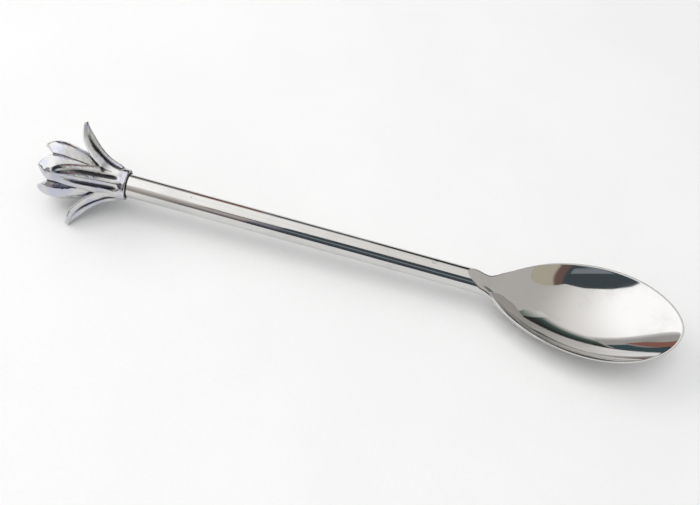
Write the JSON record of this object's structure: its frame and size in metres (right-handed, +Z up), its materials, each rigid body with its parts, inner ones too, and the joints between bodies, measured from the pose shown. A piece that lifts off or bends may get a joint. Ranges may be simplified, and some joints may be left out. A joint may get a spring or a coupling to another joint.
{
  "type": "teaspoon",
  "caption": "Polished steel teaspoon with an oval bowl on a straight round bar handle that ends in an open flower finial with flared sepals.",
  "frame": {"origin": "middle of the length and width, on the surface that the spoon lies on", "axes": "+X from the flower to the bowl's tip, along the bar but for its lean of 0.7 degrees, +Y across the bowl, +Z up out of the hollow"},
  "size_m": [0.1412, 0.0254, 0.0168],
  "materials": {
    "polished_steel": "mirror-polished stainless steel with very fine polishing lines",
    "plated_casting": "bright-plated casting, slightly softer than the bar, darker in its flutes"
  },
  "bodies": {
    "root": {"bowl": "polished_steel", "handle_rod": "polished_steel", "calyx": "plated_casting", "blossom": "plated_casting"}
  },
  "joints": []
}
